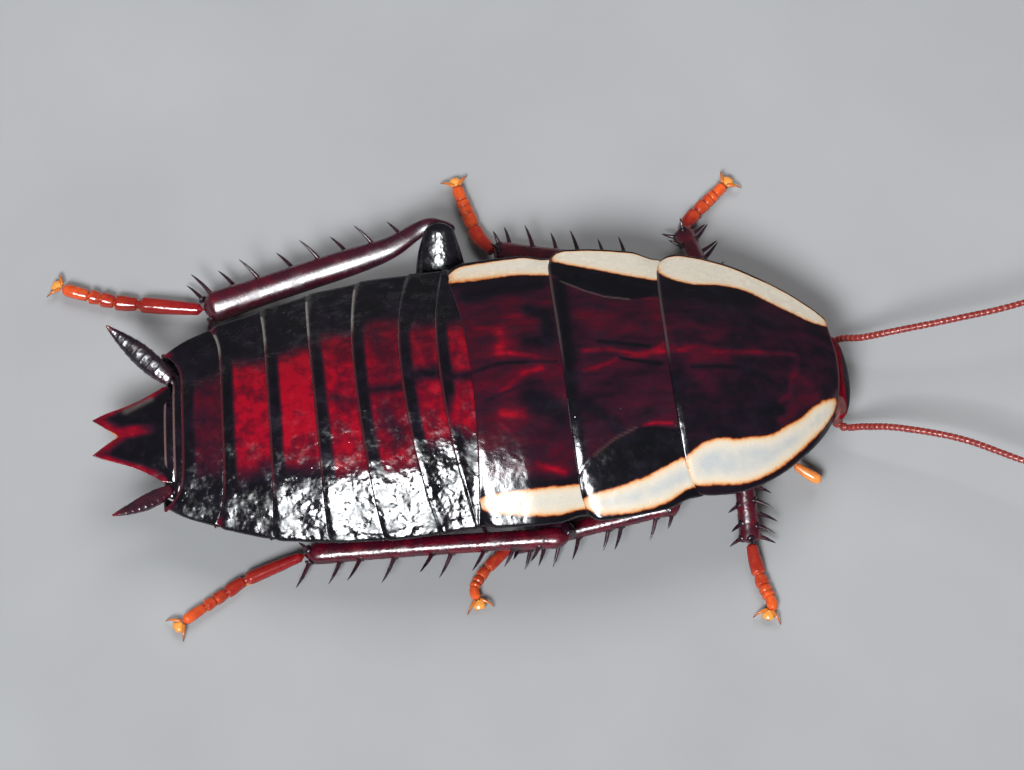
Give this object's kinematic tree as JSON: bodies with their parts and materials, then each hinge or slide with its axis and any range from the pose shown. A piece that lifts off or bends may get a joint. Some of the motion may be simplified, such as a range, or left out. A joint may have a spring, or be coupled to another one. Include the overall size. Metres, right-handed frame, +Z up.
{
  "type": "cockroach nymph model",
  "caption": "Life-size still model of a late wingless nymph of the common shining cockroach, flat on its feet with feelers spread ahead",
  "frame": {"origin": "centre of the footprint, feelers and feet included, on the floor plane the claws and foot pads stand on", "axes": "+X along the body towards the head, +Y towards the animal's left, +Z up from the floor"},
  "size_m": [0.0457, 0.0184, 0.0049],
  "materials": {
    "thorax_plate": "glossy near-black plates with dark red streaks and cream side bands",
    "abdomen_plate": "glossy black sides with a deep red middle",
    "tail": "glossy black with red edges",
    "head_shell": "glossy dark red",
    "neck_skin": "soft satin skin",
    "compound_eye": "fine-grained satin",
    "leg_shell": "glossy dark red-brown",
    "foot": "glossy orange-red",
    "palp": "satin orange",
    "feeler": "satin red-brown"
  },
  "bodies": {
    "root": {"abdomen": "abdomen_plate", "antenna_left_base": "feeler", "antenna_left_middle": "feeler", "antenna_left_tip": "feeler", "antenna_right_base": "feeler", "antenna_right_middle": "feeler", "antenna_right_tip": "feeler", "cercus_left": "tail", "cercus_right": "tail", "coxa_front_left": "leg_shell", "coxa_front_right": "leg_shell", "coxa_hind_left": "leg_shell", "coxa_hind_right": "leg_shell", "coxa_mid_left": "leg_shell", "coxa_mid_right": "leg_shell", "eye_left": "compound_eye", "eye_right": "compound_eye", "femur_front_left": "leg_shell", "femur_front_right": "leg_shell", "femur_hind_left": "leg_shell", "femur_hind_right": "leg_shell", "femur_mid_left": "leg_shell", "femur_mid_right": "leg_shell", "head": "head_shell", "mesonotum": "thorax_plate", "metanotum": "thorax_plate", "neck": "neck_skin", "palp_left": "palp", "palp_right": "palp", "pronotum": "thorax_plate", "subgenital_plate": "tail", "supra_anal_plate": "tail", "tarsus_front_left": "foot", "tarsus_front_right": "foot", "tarsus_hind_left": "foot", "tarsus_hind_right": "foot", "tarsus_mid_left": "foot", "tarsus_mid_right": "foot", "tibia_front_left": "leg_shell", "tibia_front_right": "leg_shell", "tibia_hind_left": "leg_shell", "tibia_hind_right": "leg_shell", "tibia_mid_left": "leg_shell", "tibia_mid_right": "leg_shell"}
  },
  "joints": []
}
